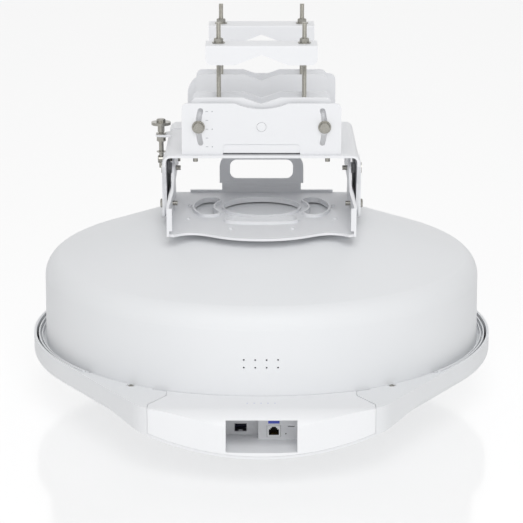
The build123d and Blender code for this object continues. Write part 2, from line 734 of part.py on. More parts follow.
def folded_ears():
    """Both ears, from their X-Z fold and their Y-Z outline."""
    out = PLATE_HALF
    inner = out - STEEL
    jog = [(inner, PLATE_TOP - STEEL), (out, PLATE_TOP - STEEL), (out, EAR_JOG_HEIGHT - 12),
           (out - EAR_JOG, EAR_JOG_HEIGHT), (out - EAR_JOG, EAR_TOP + 5),
           (inner - EAR_JOG, EAR_TOP + 5), (inner - EAR_JOG, EAR_JOG_HEIGHT - 1), (inner, EAR_JOG_HEIGHT - 13)]
    fold = upright(make_face(Polyline(jog, close=True)), -PLATE_NOSE, PLATE_BACK)
    crown = 17.0
    front = 2 - PLATE_CORNER
    knee = EAR_JOG_HEIGHT - 15
    outline = [(front, PLATE_TOP - STEEL), (front, knee), (PIVOT_Y - 68, knee + 22), (PIVOT_Y - 30, EAR_TOP),
               (PIVOT_Y + 24, EAR_TOP), (SCREW_Y + 14, BARREL_Z + 12), (SCREW_Y + 18, BARREL_Z - 16),
               (PLATE_BACK - 10, PLATE_TOP + 8), (PLATE_BACK - 10, PLATE_TOP - STEEL)]
    side = make_face(Polyline(outline, close=True))
    soft = side.vertices().filter_by(lambda v: v.Y > PLATE_TOP + 20)
    side = fillet(soft.sort_by(Axis.Y)[-2:], crown)
    ear = fold & sideways(side, out - EAR_JOG - 2 * STEEL, out + 1)
    turned = Pos(front + STEEL / 2, (PLATE_TOP + 4 + knee) / 2) * Rectangle(STEEL, knee - PLATE_TOP - 4)
    ear += sideways(turned, inner - EAR_LIP, inner + 0.5)
    for z in (PIVOT_Z, PIVOT_Z - LOCK_DROP):
        ear -= rod_x(PLATE_HALF - 25, PLATE_HALF + 15, PIVOT_Y, z, PRESS_NUT + THREAD_FIT)
    return ear


def slot_x(y, z, length, radius, x0, x1):
    """Slot along Y, cut through from x0 to x1."""
    return sideways(Pos(y, z) * SlotCenterToCenter(length, 2 * radius), x0, x1)


def middle_hole(grow):
    """Round hole in the middle of the plate."""
    return Circle(MIDDLE_RADIUS + grow)


def kidney(grow):
    """Curved hole beside the middle, on the right."""
    return swing_slot((0, 0), (KIDNEY_OUT + KIDNEY_IN) / 2, 0, KIDNEY_SWING, KIDNEY_OUT - KIDNEY_IN + 2 * grow)


def arch_slot(grow):
    """Slightly curved slot in front of the middle hole."""
    middle = (ARCH_OUT + ARCH_IN) / 2
    return swing_slot((0, ARCH_CENTRE), middle, 270, ARCH_SWING, ARCH_OUT - ARCH_IN + 2 * grow)


def plate_outline():
    """Plan of the tilt plate, with its waved front edge."""
    half = PLATE_HALF
    tip = (half - 9, -PLATE_CORNER)
    side = (half, 9 - PLATE_CORNER)
    shoulder = (half / 2 - 8, -PLATE_NOSE + 13)
    waist = (PLATE_WAIST_X, -PLATE_WAIST)
    wave = [tip, waist, shoulder, (0, -PLATE_NOSE)]
    wave += [(-x, y) for x, y in reversed(wave[:-1])]
    return make_face([
        Line((-side[0], side[1]), (-half, PLATE_BACK)),
        Line((-half, PLATE_BACK), (half, PLATE_BACK)),
        Line((half, PLATE_BACK), side),
        bend(side, tip, -70),
        Spline(wave),
        bend((-tip[0], tip[1]), (-side[0], side[1]), -70),
    ])


def build_tilt_plate():
    plate = extrude(Pos(0, 0, PLATE_TOP - STEEL) * plate_outline(), STEEL)
    plate += block(-BACK_LIP_HALF, BACK_LIP_HALF, PLATE_BACK - STEEL, PLATE_BACK,
                   PLATE_TOP - STEEL / 2, PLATE_TOP + BACK_LIP_HEIGHT)
    for shape in (middle_hole, kidney, arch_slot):
        pad = extrude(Pos(0, 0, PLATE_TOP - STEEL / 2) * shape(LIP_WIDTH), STEEL / 2 + LIP_HEIGHT)
        cut = extrude(Pos(0, 0, PLATE_TOP - STEEL - 1) * shape(0), 12)
        if shape is kidney:
            pad += mirror(pad, about=Plane.YZ)
            cut += mirror(cut, about=Plane.YZ)
        plate = plate + pad - cut
    for x, y in PLATE_FEET:
        plate -= rod(x, y, PLATE_TOP - 10, PLATE_TOP + 5, PLATE_SCREW_BORE + HOLE_FIT)
    grip = rounded(2 * HANDLE_HALF, HANDLE_TOP - PLATE_TOP + 40, 20, 0, (HANDLE_TOP + PLATE_TOP - 40) / 2)
    grip = grip & Pos(0, (PLATE_TOP - STEEL + HANDLE_TOP) / 2) * Rectangle(200, HANDLE_TOP - PLATE_TOP + STEEL)
    for side in (-1, 1):
        grip -= Pos(side * (HANDLE_NECK + 10), HANDLE_STEP - 20) * Rectangle(20, 40)
    window = rounded(2 * GRIP_HALF, GRIP_HIGH - GRIP_LOW, 9, 0, (GRIP_LOW + GRIP_HIGH) / 2)
    handle = upright(grip - window, PLATE_BACK - STEEL, PLATE_BACK)
    for z in (257.0, 262.5):
        handle += upright(rounded(2 * HANDLE_NECK - 6, 2.4, 1.1, 0, z), PLATE_BACK - STEEL - 0.8, PLATE_BACK)
    plate += handle
    ear = folded_ears()
    ear -= slot_x(SCREW_Y - 1.6, BARREL_Z, 5.5, M6 + 0.4, 80, 130)
    plate += ear + mirror(ear, about=Plane.YZ)
    return plate


# ---- yoke: folded steel that tilts on the ears
def yoke_fold():
    """X-Z section of the yoke, extruded along its whole depth."""
    out = YOKE_HALF
    outer = rounded(2 * out, 2 * (YOKE_TOP - LEG_FOOT), YOKE_BEND, 0, LEG_FOOT)
    inner = rounded(2 * (out - STEEL), 2 * (YOKE_TOP - LEG_FOOT - STEEL), YOKE_BEND - STEEL, 0, LEG_FOOT)
    keep = Pos(0, LEG_FOOT + 100) * Rectangle(4 * out, 200)
    return upright((outer - inner) & keep, -YOKE_FRONT, YOKE_BACK)


def leg_outline():
    """Y-Z outline that trims the yoke's legs."""
    points = [(-YOKE_FRONT, YOKE_TOP + 1), (-YOKE_FRONT, YOKE_TOP - 14), (PIVOT_Y - 46, YOKE_TOP - 40),
              (PIVOT_Y - 30, LEG_FOOT), (PIVOT_Y + 34, LEG_FOOT), (SCREW_Y + 26, YOKE_TOP - 60),
              (SCREW_Y + 34, YOKE_TOP - 24), (YOKE_BACK, YOKE_TOP - 14), (YOKE_BACK, YOKE_TOP + 1)]
    side = make_face(Polyline(points, close=True))
    feet = side.vertices().sort_by(Axis.Y)[:2]
    return fillet(feet, 14)


def swing_slot(centre, radius, middle, swing, width):
    """Arc slot about a centre, in a local X-Y plane. Angles are in degrees from local +X."""
    cx, cy = centre
    points = []
    for angle in (middle - swing, middle, middle + swing):
        points.append((cx + radius * cos(radians(angle)), cy + radius * sin(radians(angle))))
    path = ThreePointArc(*points)
    band = Pos(cx, cy) * (Circle(radius + width / 2) - Circle(radius - width / 2))
    reach = 3 * radius
    first = radians(middle - swing)
    last = radians(middle + swing)
    wedge = make_face(Polyline([(cx, cy), (cx + reach * cos(first), cy + reach * sin(first)),
                                (cx + reach * cos(last), cy + reach * sin(last))], close=True))
    slot = band & wedge
    for tip in (path @ 0, path @ 1):
        slot += Pos(tip.X, tip.Y) * Circle(width / 2)
    return slot


def build_yoke():
    yoke = yoke_fold()
    trim = sideways(leg_outline(), -YOKE_HALF - 5, YOKE_HALF + 5)
    yoke &= trim
    for x0, x1 in ((-130, -110), (110, 130)):
        yoke -= rod_x(x0, x1, PIVOT_Y, PIVOT_Z, M6 + HOLE_FIT)
        lock = swing_slot((PIVOT_Y, PIVOT_Z), LOCK_DROP, 270, LOCK_SWING, 2 * M6 + 0.8)
        yoke -= sideways(lock, x0, x1)
    yoke -= sideways(Pos(SCREW_Y, BARREL_Z + 4) * Rot(0, 0, 90) * SlotCenterToCenter(26, 7.4), -130, -110)
    for x in TURN_BOLT_X:
        for y in TURN_BOLT_Y:
            yoke -= rod(x, y, YOKE_TOP - 10, YOKE_TOP + 5, M6 + HOLE_FIT)
    yoke -= block(-YOKE_HALF - 1, -TURN_HALF - 1, SCREW_Y + 32, SCREW_Y + 38, YOKE_TOP - 20, YOKE_TOP + 5)
    tab = make_face(Polyline([(-YOKE_HALF + YOKE_BEND, SCREW_Y - 7), (SCREW_X, SCREW_Y - 7),
                              (SCREW_X, SCREW_Y + 7), (-YOKE_HALF + YOKE_BEND, SCREW_Y + 26)], close=True))
    tab += Pos(SCREW_X, SCREW_Y) * Circle(7)
    yoke += extrude(Pos(0, 0, YOKE_TOP - STEEL) * tab, STEEL)
    yoke -= rod(SCREW_X, SCREW_Y, YOKE_TOP - 10, YOKE_TOP + 5, M6 + HOLE_FIT)
    return yoke


def build_side_plates():
    low = PIVOT_Z - LOCK_DROP - 11
    high = PIVOT_Z + 13
    points = [(PIVOT_Y - 36, high), (PIVOT_Y - 36, low), (PIVOT_Y + 30, low), (PIVOT_Y + 30, high)]
    side = make_face(Polyline(points, close=True))
    side = fillet(side.vertices(), 8)
    plate = sideways(side, YOKE_HALF + 0.05, YOKE_HALF + STEEL)
    plate -= rod_x(YOKE_HALF - 11, YOKE_HALF + 9, PIVOT_Y, PIVOT_Z, M6 + HOLE_FIT)
    lock = swing_slot((PIVOT_Y, PIVOT_Z), LOCK_DROP, 270, LOCK_SWING, 2 * M6 + 0.8)
    plate -= sideways(lock, YOKE_HALF - 11, YOKE_HALF + 9)
    return group(both(plate))


def bolt_x(y, z, head, head_height, inner_end):
    """Bolt from outside the right side plate, pointing inwards along -X."""
    face = YOKE_HALF + STEEL + 0.1
    shank = rod_x(inner_end, face, y, z, M6)
    cap = Pos(face, y, z) * Rot(0, 90, 0) * hexagon(head, head_height)
    return shank + cap


def build_pivot_bolts():
    face = YOKE_HALF + STEEL + 0.1
    shank = rod_x(PLATE_HALF - EAR_JOG - STEEL - BOLT_SHOW, face, PIVOT_Y, PIVOT_Z, M6)
    dome = Pos(face, PIVOT_Y, PIVOT_Z) * Rot(0, 90, 0) * Pos(0, 0, 1) * Cylinder(7, 2)
    return group(both(shank + dome))


def press_nut(x, z):
    """Flush nut pressed into an ear whose inner face is at x."""
    return Pos(x, PIVOT_Y, z) * Rot(0, 90, 0) * ring(PRESS_NUT, M6 + THREAD_FIT, STEEL)


def build_pivot_nuts():
    return group(both(press_nut(PLATE_HALF - EAR_JOG - STEEL, PIVOT_Z)))


def build_pivot_spacers():
    near = PLATE_HALF - EAR_JOG + 0.15
    far = YOKE_HALF - STEEL - 0.15
    sleeve = Pos(near, PIVOT_Y, PIVOT_Z) * Rot(0, 90, 0) * ring(7, M6 + 0.3, far - near)
    return group(both(sleeve))


def build_lock_bolts():
    end = PLATE_HALF - STEEL - BOLT_SHOW
    return group(both(bolt_x(PIVOT_Y, PIVOT_Z - LOCK_DROP, M6_FLATS, 4, end)))


def build_lock_nuts():
    return group(both(press_nut(PLATE_HALF - STEEL, PIVOT_Z - LOCK_DROP)))


# ---- azimuth bracket: the upright plates that the pole saddle turns between
TURN_BOLT_X = (-82.0, 82.0)
TURN_BOLT_Y = (-62.0, 108.0)
TAB_HALF = 47.5
TAB_TOP = YOKE_TOP + 13
TAB_GAP = 2.2
TAB_LINE = 0.8


def turn_plate(near):
    """X-Z outline of one upright plate."""
    low = YOKE_TOP + 0.1
    body = Pos(0, (low + TURN_TOP) / 2) * Rectangle(2 * TURN_HALF, TURN_TOP - low)
    top = body.vertices().sort_by(Axis.Y)[-2:]
    if near:
        body = fillet(top, 7)
        dip = make_face([
            ThreePointArc((-33, TURN_TOP), (0, TURN_TOP - 7), (33, TURN_TOP)),
            Line((33, TURN_TOP), (33, TURN_TOP + 5)),
            Line((33, TURN_TOP + 5), (-33, TURN_TOP + 5)),
            Line((-33, TURN_TOP + 5), (-33, TURN_TOP)),
        ])
        gap = Pos(0, low) * Rectangle(2 * TAB_HALF, 2 * TAB_GAP)
        body = body - dip - gap
    else:
        left = top.sort_by(Axis.X)[0]
        body = fillet(left, 28)
        right = body.vertices().sort_by(Axis.Y)[-2:].sort_by(Axis.X)[-1]
        body = fillet(right, 9)
    for middle in (0, 180):
        body -= swing_slot((0, TURN_Z), TURN_BOLT_RADIUS, middle, TURN_SWING, 6.7)
    return body - Pos(0, TURN_Z) * Circle(PIN_RADIUS + PIN_GAP)


PIN_RADIUS = 5.6
PIN_GAP = 0.3


def build_azimuth_bracket():
    low = YOKE_TOP + 0.1
    bracket = block(-TURN_HALF, TURN_HALF, TURN_NEAR, TURN_FAR, low, low + STEEL)
    bracket += upright(turn_plate(True), TURN_NEAR, TURN_NEAR + STEEL)
    bracket += upright(turn_plate(False), TURN_FAR - STEEL, TURN_FAR)
    for x in TURN_BOLT_X:
        for y in TURN_BOLT_Y:
            bracket -= rod(x, y, YOKE_TOP - 5, YOKE_TOP + 10, M6 + HOLE_FIT)
    bracket -= block(-TAB_HALF, TAB_HALF, TURN_NEAR - 1, TURN_NEAR + 4 * STEEL, low - 1, low + TAB_GAP)
    line = rounded(2 * TAB_HALF, 2 * (TAB_TOP - low), 4, 0, low)
    line -= rounded(2 * (TAB_HALF - TAB_LINE), 2 * (TAB_TOP - low - TAB_LINE), 4 - TAB_LINE, 0, low)
    line &= Pos(0, low + TAB_GAP + 50) * Rectangle(4 * TAB_HALF, 100)
    bracket -= upright(line, TURN_NEAR - 1, TURN_NEAR + TAB_LINE)
    return bracket


def build_bracket_bolts():
    bolts = []
    for x in TURN_BOLT_X:
        for y in TURN_BOLT_Y:
            seat = YOKE_TOP + STEEL + 0.2
            bolt = Pos(x, y, seat) * hexagon(M6_FLATS, 3) + rod(x, y, YOKE_TOP - STEEL - 10, seat, M6)
            bolts.append(bolt)
    return group(bolts)


def build_bracket_nuts():
    nuts = []
    for x in TURN_BOLT_X:
        for y in TURN_BOLT_Y:
            low = YOKE_TOP - STEEL - M6_NUT - 0.1
            nuts.append(Pos(x, y, low) * nut(M6_FLATS, M6_NUT, M6 + THREAD_FIT))
    return group(nuts)


def build_azimuth_pins():
    pins = []
    for y0, y1 in ((TURN_NEAR + 0.2, NEAR_OUT + 6), (FAR_OUT - 6, TURN_FAR - 0.2)):
        pins.append(rod_y(0, y0, y1, TURN_Z, PIN_RADIUS))
    return group(pins)


# ---- pole saddle: two V channels joined by a tray, with four studs
NEAR_OUT = NEAR_Y - CLAMP_DEPTH / 2
FAR_OUT = FAR_Y + CLAMP_DEPTH / 2


def vee(half, depth, tip, upwards):
    """Triangle of a V notch whose apex is at the given height."""
    mouth = tip + depth if upwards else tip - depth
    grow = 1.5 if upwards else -1.5
    spread = half * (depth + 1.5) / depth
    return make_face(Polyline([(0, tip), (spread, mouth + grow), (-spread, mouth + grow)], close=True))


def saddle_flange():
    """X-Z outline of one saddle flange."""
    points = [(-SADDLE_HALF, SADDLE_TOP), (SADDLE_HALF, SADDLE_TOP), (SADDLE_HALF, TURN_Z - 4),
              (SADDLE_HALF - 12, SADDLE_WEB), (12 - SADDLE_HALF, SADDLE_WEB), (-SADDLE_HALF, TURN_Z - 4)]
    body = make_face(Polyline(points, close=True))
    body = fillet(body.vertices().sort_by(Axis.Y)[-2:], 8)
    body -= vee(SADDLE_V_HALF, SADDLE_V_DEPTH, SADDLE_TOP - SADDLE_V_DEPTH, True)
    return body


def build_saddle(centre, outer_near):
    half = CLAMP_DEPTH / 2
    web = SADDLE_HALF - 12
    piece = block(-web, web, centre - half, centre + half, SADDLE_WEB, SADDLE_WEB + STEEL)
    piece += upright(saddle_flange(), centre - half, centre - half + STEEL)
    piece += upright(saddle_flange(), centre + half - STEEL, centre + half)
    outer = centre - half if outer_near else centre + half - STEEL
    piece -= rod_y(0, outer - 1, outer + STEEL + 1, TURN_Z, PIN_RADIUS)
    for x in (-TURN_BOLT_RADIUS, TURN_BOLT_RADIUS):
        piece -= rod_y(x, outer - 1, outer + STEEL + 1, TURN_Z, M6)
    for x in (-ROD_X, ROD_X):
        piece -= rod(x, centre, SADDLE_WEB - 1, SADDLE_WEB + 5, M6)
    return piece


def build_saddle_tray():
    half = ROD_X - 12
    low = SADDLE_WEB - STEEL
    tray = block(-half, half, NEAR_Y - CLAMP_DEPTH / 2 + 4, FAR_Y + CLAMP_DEPTH / 2 - 4, low, SADDLE_WEB)
    for y in (NEAR_Y, FAR_Y):
        for x in TRAY_SCREW_X:
            tray -= rod(x, y, low - 1, SADDLE_WEB + 1, 2.0)
    return tray


TRAY_SCREW_X = (-28.0, 28.0)


def build_tray_rivets():
    rivets = []
    for y in (NEAR_Y, FAR_Y):
        for x in TRAY_SCREW_X:
            rivets.append(rod(x, y, SADDLE_WEB + STEEL, SADDLE_WEB + STEEL + 1.2, 3.8))
    return group(rivets)


STUD_FREE = JAW_TOP + WASHER + M6_NUT + 1


def build_studs():
    studs = []
    for y in (NEAR_Y, FAR_Y):
        for x in (-ROD_X, ROD_X):
            stud = rod(x, y, STUD_FREE, ROD_TOP, M6) + rod(x, y, SADDLE_WEB - 6.5, STUD_FREE, M6 - THREAD_FIT)
            studs.append(chamfer(stud.edges().group_by(Axis.Z)[-1], 0.6))
    return group(studs)


def build_stud_nuts():
    nuts = []
    for y in (NEAR_Y, FAR_Y):
        for x in (-ROD_X, ROD_X):
            nuts.append(Pos(x, y, SADDLE_WEB - M6_NUT) * nut(M6_FLATS, M6_NUT, M6))
            nuts.append(Pos(x, y, SADDLE_WEB + STEEL) * nut(M6_FLATS, M6_NUT, M6))
    return group(nuts)


def bolt_y(x, face, outward, head, height, inner_end):
    """Bolt along Y whose washer face is at face; outward is -1 for the near side."""
    turn = 90 if outward < 0 else -90
    cap = Pos(x, face, TURN_Z) * Rot(turn, 0, 0) * hexagon(head, height)
    return cap + rod_y(x, min(face, inner_end), max(face, inner_end), TURN_Z, M6)




TURN_FLATS = 12.0
TURN_HEAD = 4.5


def build_turn_bolts():
    bolts = []
    for x in (-TURN_BOLT_RADIUS, TURN_BOLT_RADIUS):
        bolts.append(bolt_y(x, TURN_NEAR - 0.1 - WASHER, -1, TURN_FLATS, TURN_HEAD, NEAR_OUT + 12))
        bolts.append(bolt_y(x, TURN_FAR + 0.1 + WASHER, 1, TURN_FLATS, TURN_HEAD, FAR_OUT - 12))
    return group(bolts)


def build_turn_washers():
    rings = []
    for x in (-TURN_BOLT_RADIUS, TURN_BOLT_RADIUS):
        near = Pos(x, TURN_NEAR - 0.1, TURN_Z) * Rot(90, 0, 0) * ring(WASHER_RADIUS, M6, WASHER)
        far = Pos(x, TURN_FAR + 0.1, TURN_Z) * Rot(-90, 0, 0) * ring(WASHER_RADIUS, M6, WASHER)
        rings.extend([near, far])
    return group(rings)


def build_turn_nuts():
    nuts = []
    for x in (-TURN_BOLT_RADIUS, TURN_BOLT_RADIUS):
        near = Pos(x, NEAR_OUT + STEEL, TURN_Z) * Rot(-90, 0, 0) * nut(M6_FLATS, M6_NUT, M6)
        far = Pos(x, FAR_OUT - STEEL, TURN_Z) * Rot(90, 0, 0) * nut(M6_FLATS, M6_NUT, M6)
        nuts.extend([near, far])
    return group(nuts)


# ---- clamp jaws: inverted V channels that the studs pull down on the pole
def jaw_flange():
    """X-Z outline of one jaw flange."""
    body = Pos(0, (JAW_FOOT + JAW_TOP) / 2) * Rectangle(2 * JAW_HALF, JAW_TOP - JAW_FOOT)
    body = fillet(body.vertices().sort_by(Axis.Y)[:2], JAW_CORNER)
    body -= vee(JAW_V_HALF, JAW_V_DEPTH, JAW_FOOT + JAW_V_DEPTH, False)
    return body


def build_jaw(centre):
    half = CLAMP_DEPTH / 2
    piece = block(-JAW_HALF, JAW_HALF, centre - half, centre + half, JAW_TOP - STEEL, JAW_TOP)
    piece += upright(jaw_flange(), centre - half, centre - half + STEEL)
    piece += upright(jaw_flange(), centre + half - STEEL, centre + half)
    edges = piece.edges().filter_by(Axis.X).group_by(Axis.Z)[-1]
    piece = fillet(edges, 2.2)
    for x in (-ROD_X, ROD_X):
        piece -= rod(x, centre, JAW_TOP - 5, JAW_TOP + 1, M6 + HOLE_FIT)
    return piece


def build_jaw_nuts(centre):
    nuts = []
    for x in (-ROD_X, ROD_X):
        nuts.append(Pos(x, centre, JAW_TOP + WASHER) * nut(M6_FLATS, M6_NUT, M6 + THREAD_FIT))
    return group(nuts)


def build_jaw_washers(centre):
    rings = []
    for x in (-ROD_X, ROD_X):
        rings.append(Pos(x, centre, JAW_TOP) * ring(WASHER_RADIUS, M6 + HOLE_FIT, WASHER))
    return group(rings)


# ---- fine adjustment: a thumb-flanged screw held in the yoke's tab, and its swivel nut
def build_adjust_screw():
    collar = YOKE_TOP + 3.2
    screw = rod(SCREW_X, SCREW_Y, SCREW_FOOT, SCREW_HEAD_TOP - 4, M6)
    screw += rod(SCREW_X, SCREW_Y, collar, SCREW_HEAD_TOP - 7, 4.4)
    screw += rod(SCREW_X, SCREW_Y, SCREW_HEAD_TOP - 7.6, SCREW_HEAD_TOP - 4, 12.5)
    screw += Pos(SCREW_X, SCREW_Y, SCREW_HEAD_TOP - 4.5) * hexagon(M6_FLATS, 4.5)
    return screw


def build_screw_washers():
    top = Pos(SCREW_X, SCREW_Y, YOKE_TOP + 0.2) * ring(6.5, M6 + THREAD_FIT, 1.4)
    return top


def build_screw_nut():
    return Pos(SCREW_X, SCREW_Y, YOKE_TOP - STEEL - 0.3 - 6) * nut(M6_FLATS, 6, M6 + THREAD_FIT)


def build_swivel_nut():
    out = SCREW_X - 4.5
    inner = -PLATE_HALF + EAR_JOG + STEEL + 3
    body = rod_x(out, SCREW_X + 4, SCREW_Y, BARREL_Z, 5)
    body = fillet(body.edges().group_by(Axis.X)[0], 1)
    body += rod_x(SCREW_X + 4, inner, SCREW_Y, BARREL_Z, M6)
    return body - rod(SCREW_X, SCREW_Y, BARREL_Z - 10, BARREL_Z + 10, M6 + THREAD_FIT)


def build_stop_washer():
    return Pos(SCREW_X, SCREW_Y, BARREL_Z + 5 + 4.5) * ring(6, M6 + THREAD_FIT, 1.2)


parts["radome"] = build_radome()
parts["rear_housing"] = build_rear_housing()
parts["chin_housing"] = build_chin_housing()
parts["port_bay"] = build_port_bay()
parts["rj45_jack"] = build_rj45_jack()
parts["jack_insert"] = build_jack_insert()
parts["rj45_contacts"] = build_rj45_contacts()
parts["sfp_cage"] = build_sfp_cage()
parts["sfp_latch"] = build_cage_latch()
parts["sfp_connector"] = build_sfp_connector()
parts["port_label"] = build_port_label()
parts["reset_button"] = build_reset_button()
parts["reset_switch"] = build_reset_switch()
parts["port_board"] = build_port_board()
parts["led_light_pipes"] = build_led_light_pipes()
parts["reflector"] = build_reflector()
parts["reflector_clips"] = build_reflector_clips()
parts["feed_waveguide"] = build_feed_waveguide()
parts["feed_lens"] = build_feed_lens()
parts["subreflector"] = build_subreflector()
parts["radio_board"] = build_radio_board()
parts["heat_spreader"] = build_heat_spreader()
parts["vent_membrane"] = build_vent_membrane()
parts["rim_gasket"] = build_rim_gasket()
parts["housing_screws"] = build_housing_screws()
parts["plate_screws"] = build_plate_screws()
parts["tilt_plate"] = build_tilt_plate()
parts["yoke"] = build_yoke()
parts["side_plates"] = build_side_plates()
parts["pivot_bolts"] = build_pivot_bolts()
parts["pivot_nuts"] = build_pivot_nuts()
parts["pivot_spacers"] = build_pivot_spacers()
parts["lock_bolts"] = build_lock_bolts()
parts["lock_nuts"] = build_lock_nuts()
parts["azimuth_bracket"] = build_azimuth_bracket()
parts["bracket_bolts"] = build_bracket_bolts()
parts["bracket_nuts"] = build_bracket_nuts()
parts["azimuth_pins"] = build_azimuth_pins()
parts["saddle_near"] = build_saddle(NEAR_Y, True)
parts["saddle_far"] = build_saddle(FAR_Y, False)
parts["saddle_tray"] = build_saddle_tray()
parts["tray_rivets"] = build_tray_rivets()
parts["studs"] = build_studs()
parts["stud_nuts"] = build_stud_nuts()
parts["turn_bolts"] = build_turn_bolts()
parts["turn_washers"] = build_turn_washers()
parts["turn_nuts"] = build_turn_nuts()
parts["jaw_near"] = build_jaw(NEAR_Y)
parts["jaw_far"] = build_jaw(FAR_Y)
parts["jaw_nuts_near"] = build_jaw_nuts(NEAR_Y)
parts["jaw_nuts_far"] = build_jaw_nuts(FAR_Y)
parts["jaw_washers_near"] = build_jaw_washers(NEAR_Y)
parts["jaw_washers_far"] = build_jaw_washers(FAR_Y)
parts["adjust_screw"] = build_adjust_screw()
parts["screw_washer"] = build_screw_washers()
parts["screw_nut"] = build_screw_nut()
parts["swivel_nut"] = build_swivel_nut()
parts["stop_washer"] = build_stop_washer()

os.makedirs("parts", exist_ok=True)
for name, shape in parts.items():
    export_step(shape, f"parts/{name}.step")
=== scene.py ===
import bmesh
import bpy
import math
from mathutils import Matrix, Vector


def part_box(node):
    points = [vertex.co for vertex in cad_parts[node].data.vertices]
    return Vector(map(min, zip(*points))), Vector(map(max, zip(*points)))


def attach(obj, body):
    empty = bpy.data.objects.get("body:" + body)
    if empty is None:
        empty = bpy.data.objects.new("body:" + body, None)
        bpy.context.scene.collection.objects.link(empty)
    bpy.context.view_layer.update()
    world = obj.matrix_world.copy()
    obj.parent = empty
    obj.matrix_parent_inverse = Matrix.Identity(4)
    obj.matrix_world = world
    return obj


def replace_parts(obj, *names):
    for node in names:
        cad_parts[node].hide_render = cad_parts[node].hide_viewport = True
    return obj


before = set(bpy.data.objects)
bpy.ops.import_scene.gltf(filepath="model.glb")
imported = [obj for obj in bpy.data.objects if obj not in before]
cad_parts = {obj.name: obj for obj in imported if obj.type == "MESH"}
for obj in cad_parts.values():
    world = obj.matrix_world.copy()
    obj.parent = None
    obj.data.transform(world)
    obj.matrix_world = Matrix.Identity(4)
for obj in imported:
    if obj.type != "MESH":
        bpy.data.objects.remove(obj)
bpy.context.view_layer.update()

MM = 0.001


# Rear housing: an injection-moulded drum of UV-stable ABS, screwed to the radome round its rim. Its fine
# spark-eroded texture scatters light, so the drum shows broad gradients and no sharp highlight.
HOUSING_WHITE = "#EAEBED"
HOUSING_SHADE = "#E4E6E8"
SPARK_GRAIN = 0.9 * MM
PATCHES_PER_METRE = 6.0
PEBBLE_STRENGTH = 0.22
GLOSS_BELOW = 0.04
GLOSS_ABOVE = 0.05
PLASTIC_IOR = 1.5
PLASTIC_SPECULAR = 0.35


def linear(colour):
    """Linear RGBA from an sRGB hex colour."""
    channels = [int(colour[i:i + 2], 16) / 255 for i in (1, 3, 5)]
    curve = [c / 12.92 if c <= 0.04045 else ((c + 0.055) / 1.055) ** 2.4 for c in channels]
    return (*curve, 1.0)


def node(tree, kind, settings=None, links=None):
    """Adds one shader node, sets its properties and inputs, and links its inputs to other outputs."""
    made = tree.nodes.new(kind)
    for key, value in (settings or {}).items():
        if isinstance(key, str) and hasattr(made, key):
            setattr(made, key, value)
        else:
            made.inputs[key].default_value = value
    for key, source in (links or {}).items():
        tree.links.new(source, made.inputs[key])
    return made


def blank(name):
    """Empty node material and its output."""
    made = bpy.data.materials.new(name)
    made.use_nodes = True
    tree = made.node_tree
    tree.nodes.clear()
    return made, tree, node(tree, "ShaderNodeOutputMaterial")


def moulded(name, light, shade, grain, rough, depth):
    """Moulded or sprayed skin: two close whites in slow patches, and a fine pebble."""
    made, tree, out = blank(name)
    place = node(tree, "ShaderNodeTexCoord").outputs["Object"]
    patch = node(tree, "ShaderNodeTexNoise", {"Scale": PATCHES_PER_METRE, "Detail": 3.0}, {"Vector": place})
    tone = node(tree, "ShaderNodeMix", {"data_type": "RGBA", 6: linear(light), 7: linear(shade)},
                {0: patch.outputs["Fac"]})
    pebble = node(tree, "ShaderNodeTexNoise", {"Scale": 1 / grain, "Detail": 2.0, "Roughness": 0.6},
                  {"Vector": place})
    bump = node(tree, "ShaderNodeBump", {"Strength": PEBBLE_STRENGTH, "Distance": depth},
                {"Height": pebble.outputs["Fac"]})
    gloss = node(tree, "ShaderNodeMapRange", {"To Min": rough - GLOSS_BELOW, "To Max": rough + GLOSS_ABOVE},
                 {"Value": pebble.outputs["Fac"]})
    skin = node(tree, "ShaderNodeBsdfPrincipled",
                {"IOR": PLASTIC_IOR, "Specular IOR Level": PLASTIC_SPECULAR},
                {"Base Color": tone.outputs[2], "Roughness": gloss.outputs[0], "Normal": bump.outputs[0]})
    tree.links.new(skin.outputs[0], out.inputs["Surface"])
    return made


def coat(name, material):
    """Gives a CAD node its finished material."""
    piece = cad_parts[name]
    piece.data.materials.clear()
    piece.data.materials.append(material)
    return piece


# Eroded ABS: a soft cool white with a matt, slightly uneven sheen.
housing_abs = moulded("textured_abs", HOUSING_WHITE, HOUSING_SHADE, SPARK_GRAIN, 0.55, 0.02 * MM)
coat("rear_housing", housing_abs)


# Radome: a thermoformed bowl of ASA. It is a shade glossier than the drum, because radio passes best
# through a smooth skin.
# Formed ASA: the same white with a smoother, slightly brighter sheen.
radome_asa = moulded("radome_asa", "#E8E9EB", "#E2E4E6", 1.1 * MM, 0.5, 0.015 * MM)
coat("radome", radome_asa)


# Chin housing, the socket bay behind it and the reflector's clips: the same ABS, moulded smooth. The chin
# is a separate cover that meets the decks and the radome at hairline seams.
# Smooth ABS: a little brighter than the drum.
chin_abs = moulded("smooth_abs", "#EEEFF1", "#E9EAEC", 0.8 * MM, 0.46, 0.01 * MM)
for name in ("chin_housing", "port_bay", "reflector_clips"):
    coat(name, chin_abs)


